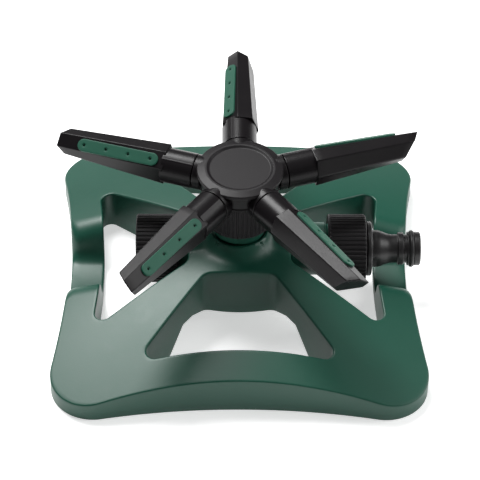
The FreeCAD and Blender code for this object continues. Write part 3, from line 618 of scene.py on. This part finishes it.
def plug_surfaces():
    """The push-fit plug: flange inside the nut, neck, collar, taper down to the waist, ring, and the nose
    with the O-ring's seat. Each row is a corner's radius, its place along X, and its rounding."""
    start, tip = NIPPLE_LOW[0], NIPPLE_HIGH[0]
    head_end = start + PLUG_HEAD
    section = np.array([
        (PLUG_BORE, start, 0.2), (PLUG_HEAD_R, start, 0.2), (PLUG_HEAD_R, head_end, 0.2),
        (PLUG_NECK, head_end, 0.2), (PLUG_NECK, COLLAR_PLATE[0], 0.3),
        (COLLAR_PLATE_R, COLLAR_PLATE[0], 0.4), (COLLAR_PLATE_R, COLLAR_PLATE[1], 0.9),
        (PLUG_NECK, COLLAR_PLATE[1], 0.6), (PLUG_NECK, TAPER[0], 7.0), (PLUG_WAIST, TAPER[1], 9.0),
        (PLUG_WAIST, RING[0], 0.5), (RING_R, RING[0], 0.5), (RING_R, RING[1], 0.5),
        (PLUG_WAIST, RING[1], 0.5), (PLUG_WAIST, NOSE_AT, 0.3), (PLUG_NOSE, NOSE_AT, 0.3),
        (PLUG_NOSE, SEAT[0], 0.2), (SEAT_R, SEAT[0], 0.1), (SEAT_R, SEAT[1], 0.1),
        (PLUG_NOSE, SEAT[1], 0.2), (PLUG_NOSE, tip, 0.9), (PLUG_BORE, tip, 0.6)])
    return [lathe(rounded(section[:, :2], section[:, 2]), frame_x(0, 0, PIPE_Z), 128)]


# ---------------------------------------------------------------- rotor

def arm_turn(arm):
    """The direction of an arm, in degrees from +X."""
    return ARM_PHASE + arm * 360.0 / ARMS


def hub_surfaces():
    """A drum with five short round stubs, each with the spigot that its arm turns on."""
    lip = HUB_R[0] + HUB_LIP
    drum = [(0, HUB_LOW), (lip, HUB_LOW), (lip, HUB_LOW + 2 * HUB_LIP), (HUB_R[0], HUB_LOW + 3 * HUB_LIP),
            (HUB_R[1], HUB_TOP), (0, HUB_TOP)]
    profile = rounded(drum, (0, 0.3, 0.3, 0.3, 0.2, 0), closed=False)
    surfaces = [lathe(profile, frame_z(0, 0, 0), 160, closed=False)]
    for arm in range(ARMS):
        place = frame_x(0, 0, AXIS_Z)
        surfaces.append(turned(rod(place, STUB_R, STUB_IN, STUB_END, 0.35, 96), arm_turn(arm)))
        surfaces.append(turned(rod(place, SPIGOT_R, STUB_END - 1, SPIGOT_END, 0.5), arm_turn(arm)))
    return surfaces


def disc_surfaces():
    """The hub's cover: a chamfered disc with a flat recess inside a narrow lip."""
    floor = DISC_TOP - RECESS
    corners = [(0, HUB_TOP), (DISC_R, HUB_TOP), (DISC_R, DISC_TOP - DISC_EDGE),
               (RECESS_R + DISC_LIP, DISC_TOP), (RECESS_R, DISC_TOP), (RECESS_R - RECESS_SLOPE, floor),
               (0, floor)]
    profile = rounded(corners, (0, 0.5, 0.7, 0.5, 0.5, 1.0, 0), closed=False)
    return [lathe(profile, frame_z(0, 0, 0), 192, closed=False)]


def outward(loop):
    """The outward direction at each point of a loop that runs anticlockwise."""
    heading = np.roll(loop, -1, axis=0) - np.roll(loop, 1, axis=0)
    out = np.stack([heading[:, 1], -heading[:, 0]], axis=1)
    return out / np.linalg.norm(out, axis=1, keepdims=True)


def arm_section(reach):
    """The rounded six-sided section at distances from the axis, shrinking evenly from root to end."""
    root = rounded(ROOT_SECTION, CORNERS_R)
    end = rounded(END_SECTION, CORNERS_R)
    share = ((reach - ROOT_AT) / (END_AT - ROOT_AT))[..., None]
    return root * (1 - share) + end * share


def quarter_round(edge):
    """A rounded edge of a flat end, as rows of how far along from the end and how far in from the side."""
    angle = np.linspace(0, math.pi / 2, 5)
    return edge * (1 - np.cos(angle)), edge * (1 - np.sin(angle))


def seam(angle, radius, along):
    """shape() of a low moulding seam that runs along the upper side of a collar."""
    off = np.abs((angle - SEAM_AT + math.pi) % (2 * math.pi) - math.pi) * STUB_R
    return np.where(radius > STUB_R - 0.5, radius + SEAM_PROUD * np.exp(-(off / SEAM_HALF) ** 2), radius)


def arm_surfaces():
    """The tapering body with its slanted end, and the round collar that turns on the spigot. At the tip each
    line of the body runs out to the plane through the ridge's end."""
    base = np.zeros(len(rounded(ROOT_SECTION, CORNERS_R)))
    low, rate = arm_section(base), arm_section(base + 1) - arm_section(base)
    share = (TIP_RADIUS - ROOT_AT) / (END_AT - ROOT_AT)
    ridge = np.array(ROOT_SECTION[0]) * (1 - share) + np.array(END_SECTION[0]) * share
    slant = np.array(TIP_SLANT)
    tip = (TIP_RADIUS + (low - ridge) @ slant) / (1 - rate @ slant)
    in_from_end, in_from_side = quarter_round(ARM_EDGE)
    body = np.linspace(0, 1, 14)[1:-1, None]
    reach = np.concatenate([ROOT_AT + in_from_end[:, None] + 0 * tip,
                            (ROOT_AT + ARM_EDGE) * (1 - body) + (tip - ARM_EDGE) * body,
                            tip - in_from_end[::-1, None]])
    inset = np.concatenate([in_from_side, 0 * body[:, 0], in_from_side[::-1]])
    plane = arm_section(reach) - inset[:, None, None] * outward(arm_section(base + ROOT_AT))
    points = np.stack([reach, plane[..., 0], plane[..., 1] + AXIS_Z], axis=-1)
    shrink = np.array([0.0, 0.5, 0.9])[:, None, None]
    near_middle = points[:1].mean(axis=1, keepdims=True)
    far_middle = points[-1:].mean(axis=1, keepdims=True)
    near = near_middle * (1 - shrink) + points[:1] * shrink
    far = far_middle * (1 - shrink[::-1]) + points[-1:] * shrink[::-1]
    inside, collar_end = SPIGOT_R + SPIGOT_GAP, ROOT_AT + COLLAR_PAST
    collar = [(inside, COLLAR_IN), (STUB_R, COLLAR_IN), (STUB_R, collar_end), (inside, collar_end)]
    return [grid(np.concatenate([near, points, far]), around=True),
            lathe(rounded(collar, (0.1, 0.4, 0.1, 0.1)), frame_x(0, 0, AXIS_Z), 192, seam)]


def strip_place():
    """Turn and place of the spray facet, between the ridge and the corner beside it: x along the strip,
    y away from the ridge, z out of the facet."""
    def facet_edges(reach):
        share = (reach - ROOT_AT) / (END_AT - ROOT_AT)
        corners = [np.array(ROOT_SECTION[i]) * (1 - share) + np.array(END_SECTION[i]) * share for i in (0, 5)]
        return [np.array([reach, c[0], c[1] + AXIS_Z]) for c in corners]
    (ridge_in, side_in), (ridge_out, side_out) = facet_edges(JET_IN), facet_edges(JET_OUT)
    start, end = (ridge_in + side_in) / 2, (ridge_out + side_out) / 2
    along = (end - start) / np.linalg.norm(end - start)
    across = side_in - ridge_in + side_out - ridge_out
    out = np.cross(along, across)
    out = out / np.linalg.norm(out)
    side = np.cross(out, along)
    origin = start - along * start[0] / along[0] + side * STRIP_SHIFT
    return (np.stack([along, side, out], axis=1), origin), along[0]


def strip_surfaces():
    """A round-ended bar with a soft edge. Its face is a row of cells, one to a jet, each a band between the
    cell's border and the jet's stepped hole; its side is carried along the borders."""
    (turn, origin), lean = strip_place()
    start, end = STRIP_IN / lean, STRIP_OUT / lean
    inner = STRIP_HALF - STRIP_EDGE
    jets = np.linspace(JET_IN, JET_OUT, JETS) / lean
    borders = np.concatenate([[start + STRIP_HALF], (jets[:-1] + jets[1:]) / 2, [end - STRIP_HALF]])
    share = np.linspace(0, 1, 33)[:-1, None]
    swing = math.pi * (share - 0.5)
    bend = np.hstack([np.cos(swing), np.sin(swing)])
    down = np.array([0.0, -1.0]) + 0 * bend

    def lofted(plans, heights):
        """Plan loops lifted off the facet, each to its height."""
        lift = np.array(heights)[:, None, None] + 0 * plans[..., :1]
        return np.concatenate([plans, lift], axis=-1) @ turn.T + origin

    surfaces = []
    lower_run, upper_run = [], []
    for jet, left, right in zip(jets, borders[:-1], borders[1:]):
        run = np.hstack([left + (right - left) * share, 0 * share])
        back = np.hstack([right + (left - right) * share, 0 * share])
        lower_run.append(run)
        upper_run.insert(0, back)
        right_side = bend * ([1, 1] if right == borders[-1] else [0, 1])
        left_side = -bend * ([1, 1] if left == borders[0] else [0, 1])
        border = np.concatenate([run + inner * down, right_side * inner + [right, 0], back - inner * down,
                                 left_side * inner + [left, 0]])
        direction = np.arctan2(border[:, 1], border[:, 0] - jet)
        circle = np.stack([np.cos(direction), np.sin(direction)], axis=1)
        centre = np.array([jet, 0.0])
        blend = np.array([0, 0.35, 0.7, 1.0])[:, None, None]
        face = border * (1 - blend) + (centre + 1.15 * JET_SEAT_R * circle) * blend
        steps = [(1.06 * JET_SEAT_R, 0.02), (JET_SEAT_R, 0.08), (0.97 * JET_SEAT_R, JET_SEAT - 0.02),
                 (0.9 * JET_SEAT_R, JET_SEAT), (JET_R + 0.06, JET_SEAT), (JET_R, JET_SEAT + 0.06),
                 (JET_R, JET_DEEP), (0, JET_DEEP)]
        well = np.stack([centre + radius * circle for radius, _ in steps])
        heights = [STRIP_PROUD] * len(face) + [STRIP_PROUD - depth for _, depth in steps]
        surfaces.append(grid(lofted(np.concatenate([face, well]), heights), around=True))

    round_end, round_start = 0 * bend + [borders[-1], 0], 0 * bend + [borders[0], 0]
    spine = np.concatenate(lower_run + [round_end] + upper_run + [round_start])
    directions = np.concatenate([down] * JETS + [bend] + [-down] * JETS + [-bend])
    in_from_face, in_from_side = quarter_round(STRIP_EDGE)
    widths = np.concatenate([STRIP_HALF - in_from_side, [STRIP_HALF, 0.6 * STRIP_HALF, 0]])
    heights = np.concatenate([STRIP_PROUD - in_from_face, [-STRIP_SUNK] * 3])
    plans = spine[None] + widths[:, None, None] * directions[None]
    surfaces.append(grid(lofted(plans, heights), around=True))
    return surfaces


# ---------------------------------------------------------------- finishes

class Value:
    """A number in a material, which adds, takes away and multiplies by Math nodes."""

    def __init__(self, finish, socket):
        self.finish, self.socket = finish, socket

    def math(self, operation, *others):
        """What a Math node makes of this value and the others."""
        node = self.finish.node("ShaderNodeMath", {"operation": operation}, {0: self})
        for index, other in enumerate(others):
            self.finish.put(node.inputs[index + 1], other)
        return Value(self.finish, node.outputs[0])

    def __add__(self, other):
        return self.math("ADD", other)

    def __radd__(self, other):
        return self.math("ADD", other)

    def __sub__(self, other):
        return self.math("SUBTRACT", other)

    def __rsub__(self, other):
        return (self * -1) + other

    def __mul__(self, other):
        return self.math("MULTIPLY", other)

    def __rmul__(self, other):
        return self.math("MULTIPLY", other)

    def clamp(self):
        """The value held between 0 and 1."""
        return self.math("MAXIMUM", 0.0).math("MINIMUM", 1.0)


class Finish:
    """A material under construction."""

    def __init__(self, name):
        self.material = bpy.data.materials.new(name)
        self.material.use_nodes = True
        self.tree = self.material.node_tree
        self.shader = self.tree.nodes["Principled BSDF"]

    def put(self, socket, value):
        """Links a value to a socket, or sets the socket to a number or colour."""
        if isinstance(value, Value):
            self.tree.links.new(value.socket, socket)
        else:
            socket.default_value = value

    def node(self, kind, settings, inputs):
        """A node of any type, with its settings first and then its sockets."""
        made = self.tree.nodes.new(kind)
        for name, value in settings.items():
            setattr(made, name, value)
        for name, value in inputs.items():
            self.put(made.inputs[name], value)
        return made

    def place(self):
        """Coordinates in the object's own frame, in metres."""
        return Value(self, self.node("ShaderNodeTexCoord", {}, {}).outputs["Object"])

    def noise(self, place, scale, detail=2.0, roughness=0.5):
        """Noise from 0 to 1, with about scale bumps to the metre."""
        inputs = {"Vector": place, "Scale": scale, "Detail": detail, "Roughness": roughness}
        return Value(self, self.node("ShaderNodeTexNoise", {}, inputs).outputs["Fac"])

    def mix(self, share, one, two):
        """A colour that goes from one to two as the share goes from 0 to 1."""
        node = self.node("ShaderNodeMix", {"data_type": "RGBA"}, {0: share, 6: one, 7: two})
        return Value(self, node.outputs[2])

    def bump(self, height, depth):
        """The normal of a surface raised by a height of 0 to 1 over a depth in metres."""
        node = self.node("ShaderNodeBump", {}, {"Strength": 1.0, "Distance": depth, "Height": height})
        return Value(self, node.outputs["Normal"])

    def shade(self, **inputs):
        """Sets the shader's sockets, named with underscores for spaces, and returns the material."""
        for name, value in inputs.items():
            self.put(self.shader.inputs[name.replace("_", " ")], value)
        return self.material


def colour(red, green, blue, share=1.0):
    """A linear colour, with its brightness scaled by share."""
    return (red * share, green * share, blue * share, 1.0)


def moulded(name, tint, roughness, grain, depth, mottle, specular):
    """Moulded plastic: a fine spark-eroded grain in the bump, broad clouds in the colour, a slight drift of
    gloss, and sparse rubbed spots that are a little smoother and paler."""
    finish = Finish(name)
    place = finish.place()
    fine = finish.noise(place, grain, 3.0, 0.6)
    cloud = finish.noise(place, 26.0, 4.0, 0.55)
    speck = finish.noise(place, grain * 0.45, 1.0, 0.5)
    rubbed = ((finish.noise(place, 90.0, 5.0, 0.6) - 0.56) * 6.0).clamp()
    base = finish.mix(cloud, colour(*tint, 1 - mottle), colour(*tint, 1 + mottle))
    base = finish.mix(speck * 0.22, base, colour(*tint, 0.72))
    base = finish.mix(rubbed * 0.10, base, colour(*[t * 1.15 + 0.012 for t in tint]))
    gloss = (cloud - 0.5) * 0.10 + (fine - 0.5) * 0.10 - rubbed * 0.03 + roughness
    height = fine * 0.8 + speck * 0.5
    return finish.shade(Base_Color=base, Roughness=gloss, Normal=finish.bump(height, depth),
                        Specular_IOR_Level=specular)


def rubber(name):
    """Black rubber with a dusty bloom."""
    finish = Finish(name)
    place = finish.place()
    bloom = finish.noise(place, 300.0, 4.0, 0.6)
    fine = finish.noise(place, 2600.0, 2.0)
    base = finish.mix(bloom, colour(0.006, 0.006, 0.0065), colour(0.016, 0.016, 0.0165))
    return finish.shade(Base_Color=base, Roughness=(bloom - 0.5) * 0.2 + 0.46,
                        Normal=finish.bump(fine, 0.00001), Specular_IOR_Level=0.45)


def plated_steel(name):
    """Plated steel with turning marks too fine to count."""
    finish = Finish(name)
    place = finish.place()
    streak = finish.noise(place, 900.0, 3.0)
    cloud = finish.noise(place, 220.0, 2.0)
    base = finish.mix(cloud, colour(0.50, 0.50, 0.51), colour(0.62, 0.61, 0.58))
    return finish.shade(Base_Color=base, Metallic=1.0, Roughness=(streak - 0.5) * 0.2 + 0.32,
                        Normal=finish.bump(streak, 0.000008))


# name, tint, roughness, grain to the metre, its depth in metres, mottle, specular
GREEN = moulded("base_green", (0.0035, 0.060, 0.037), 0.42, 1500.0, 0.000022, 0.12, 0.44)
STRIP_GREEN = moulded("strip_green", (0.010, 0.078, 0.048), 0.50, 1700.0, 0.000018, 0.12, 0.3)
ARM_BLACK = moulded("arm_black", (0.0056, 0.0046, 0.0054), 0.33, 1300.0, 0.000034, 0.18, 0.20)
NUT_BLACK = moulded("nut_black", (0.0180, 0.0170, 0.0180), 0.46, 1500.0, 0.000022, 0.15, 0.14)
DISC_BLACK = moulded("disc_black", (0.0078, 0.0066, 0.0076), 0.44, 1500.0, 0.000024, 0.15, 0.2)
PLUG_BLACK = moulded("plug_black", (0.0115, 0.0105, 0.0112), 0.40, 1300.0, 0.000016, 0.15, 0.6)
WASHER = moulded("washer_white", (0.62, 0.62, 0.58), 0.40, 1200.0, 0.000010, 0.05, 0.5)
RUBBER = rubber("seal_rubber")
STEEL = plated_steel("screw_steel")


# ---------------------------------------------------------------- the sprinkler

piece("base_shell", "base", GREEN, base_surfaces(), ["base"], 44)
piece("pipe_tee", "base", GREEN, tee_surfaces(), ["water_tee"])

rotor_nut_place = frame_z(0, 0, ROTOR_NUT_LOW[2])
rotor_nut = swivel_nut(rotor_nut_place, ROTOR_NUT_HIGH[2] - ROTOR_NUT_LOW[2], ROTOR_NECK)
piece("rotor_nut_grip", "base", NUT_BLACK, [rotor_nut], ["rotor_nut"])
hose_nut_place = frame_x(HOSE_NUT_LOW[0], 0, PIPE_Z)
hose_nut = swivel_nut(hose_nut_place, HOSE_NUT_HIGH[0] - HOSE_NUT_LOW[0], HOSE_NECK)
piece("hose_nut_grip", "hose_nut", NUT_BLACK, [hose_nut], ["hose_nut"])
end_cap_place = flipped(frame_x(END_CAP_HIGH[0], 0, PIPE_Z))
end_cap = cap_nut(end_cap_place, END_CAP_HIGH[0] - END_CAP_LOW[0])
piece("end_cap_grip", "end_cap", NUT_BLACK, [end_cap], ["end_cap"])

piece("hub_drum", "rotor", ARM_BLACK, hub_surfaces(), ["hub_body"])
piece("hub_disc", "rotor", DISC_BLACK, disc_surfaces(), ["hub_cap"])
arm_shape, strip_shape = arm_surfaces(), strip_surfaces()
for arm in range(ARMS):
    number = str(arm + 1)
    body, strip = "arm_" + number, "spray_strip_" + number
    arm_here = [turned(surface, arm_turn(arm)) for surface in arm_shape]
    strip_here = [turned(surface, arm_turn(arm)) for surface in strip_shape]
    piece("spray_arm_" + number, body, ARM_BLACK, arm_here, [body])
    piece("jet_strip_" + number, body, STRIP_GREEN, strip_here, [strip])

piece("hose_plug", "inlet_adapter", PLUG_BLACK, plug_surfaces(), ["inlet_nipple"])
ring_wire = (O_RING_HIGH[0] - O_RING_LOW[0]) / 2
ring_r = (O_RING_HIGH[1] - O_RING_LOW[1]) / 2 - ring_wire
o_ring = hoop(frame_x((O_RING_LOW[0] + O_RING_HIGH[0]) / 2, 0, PIPE_Z), ring_r, ring_wire)
piece("plug_o_ring", "inlet_adapter", RUBBER, [o_ring], ["nipple_o_ring"])

# the hidden pieces keep their own shapes and are only given their finish
CARRIED = {"tee_screws": STEEL, "riser_seal": RUBBER, "thrust_washer": WASHER, "rotor_spindle": PLUG_BLACK,
           "hub_cap_seal": RUBBER, "arm_o_rings": RUBBER, "inlet_washer": RUBBER, "end_cap_washer": RUBBER}
for node, finish in CARRIED.items():
    for material_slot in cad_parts[node].material_slots:
        material_slot.material = finish


# ---------------------------------------------------------------- floor, light and camera, in metres

LIT_HEIGHT = 0.04           # the lights face a point this high

def paper(name):
    """White studio paper."""
    finish = Finish(name)
    fibre = finish.noise(finish.place(), 60.0, 4.0)
    base = finish.mix(fibre, colour(0.90, 0.90, 0.90), colour(0.94, 0.94, 0.94))
    return finish.shade(Base_Color=base, Roughness=0.9, Specular_IOR_Level=0.1, Emission_Color=base,
                        Emission_Strength=0.6)


def aim(thing, back, up):
    """Turns a camera or light so that it looks against back."""
    back = back.normalized()
    right = up.cross(back).normalized()
    thing.matrix_world = Matrix((right, back.cross(right), back)).transposed().to_4x4()


def studio_floor(size):
    """A square sheet of paper under the sprinkler."""
    mesh = bpy.data.meshes.new("studio_floor")
    half = size / 2
    corners = [(-half, -half, 0), (half, -half, 0), (half, half, 0), (-half, half, 0)]
    mesh.from_pydata(corners, [], [(0, 1, 2, 3)])
    mesh.materials.append(paper("studio_paper"))
    floor = bpy.data.objects.new("studio_floor", mesh)
    bpy.context.scene.collection.objects.link(floor)


def softbox(name, azimuth, elevation, distance, size, watts):
    """A square area light that faces the rotor from a direction: azimuth 0 is in front, 90 on the right."""
    a, e = math.radians(azimuth), math.radians(elevation)
    back = Vector((math.sin(a) * math.cos(e), -math.cos(a) * math.cos(e), math.sin(e)))
    lamp = bpy.data.lights.new(name, "AREA")
    lamp.shape = "SQUARE"
    lamp.size = size
    lamp.energy = watts
    light = bpy.data.objects.new(name, lamp)
    bpy.context.scene.collection.objects.link(light)
    aim(light, back, Vector((0, 0, 1)))
    light.location = back * distance + Vector((0, 0, LIT_HEIGHT))


def studio_camera(azimuth, elevation, roll, distance, target, lens):
    """A camera in front of a target, moved to the left by azimuth and up by elevation, in degrees."""
    a, e, r = math.radians(azimuth), math.radians(elevation), math.radians(roll)
    back = Vector((-math.sin(a) * math.cos(e), -math.cos(a) * math.cos(e), math.sin(e)))
    camera = bpy.data.objects.new("camera", bpy.data.cameras.new("camera"))
    bpy.context.scene.collection.objects.link(camera)
    camera.data.sensor_width = 36.0
    camera.data.lens = lens
    aim(camera, back, Vector((0, 0, 1)))
    camera.matrix_world = camera.matrix_world @ Matrix.Rotation(r, 4, "Z")
    camera.location = Vector(target) + back * distance
    bpy.context.scene.camera = camera


studio_floor(6.0)
softbox("key_softbox", azimuth=213, elevation=57, distance=1.5, size=0.76, watts=37)
softbox("fill_softbox", azimuth=92, elevation=34, distance=1.6, size=0.9, watts=12)
world = bpy.data.worlds.new("studio")
world.use_nodes = True
world.node_tree.nodes["Background"].inputs["Color"].default_value = (1, 1, 1, 1)
world.node_tree.nodes["Background"].inputs["Strength"].default_value = 0.12
bpy.context.scene.world = world
bpy.context.scene.view_settings.view_transform = "Standard"
studio_camera(azimuth=0.82, elevation=43.73, roll=0.70, distance=1.1341, target=(0.00043, 0, 0.03324),
              lens=164.2)
